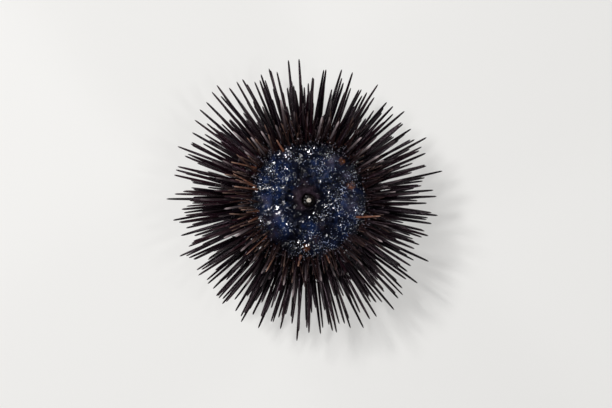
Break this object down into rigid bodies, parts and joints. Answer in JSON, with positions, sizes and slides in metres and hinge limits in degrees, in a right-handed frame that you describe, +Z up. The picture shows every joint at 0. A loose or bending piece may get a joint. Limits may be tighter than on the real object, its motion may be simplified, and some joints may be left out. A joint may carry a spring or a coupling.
{
  "type": "sea urchin",
  "caption": "Black sea urchin at life size, lying mouth up on the tips of its lower spines, with a wet blue-black membrane round the mouth.",
  "frame": {"origin": "on the floor, under the middle of the animal's box", "axes": "+Z up out of the mouth, the animal's axis; +Y towards the top of the picture, +X towards its right"},
  "size_m": [0.08, 0.08, 0.0359],
  "materials": {
    "spine_black": "black horny spines and skin with a brown-red tint and thin wet highlights",
    "membrane_blue": "wet blue-black mouth membrane, lumpy and glistening",
    "lip_brown": "smooth wet brownish-purple lip",
    "tooth_ivory": "pale yellowish tooth enamel",
    "plate_brown": "dark brown shell plates"
  },
  "bodies": {
    "root": {"ambulacrum_1": "spine_black", "ambulacrum_2": "spine_black", "ambulacrum_3": "spine_black", "ambulacrum_4": "spine_black", "ambulacrum_5": "spine_black", "interambulacrum_1": "spine_black", "interambulacrum_2": "spine_black", "interambulacrum_3": "spine_black", "interambulacrum_4": "spine_black", "interambulacrum_5": "spine_black", "peristome_membrane": "membrane_blue", "mouth_lip": "lip_brown", "lantern_and_teeth": "tooth_ivory", "apical_disc": "plate_brown"}
  },
  "joints": []
}
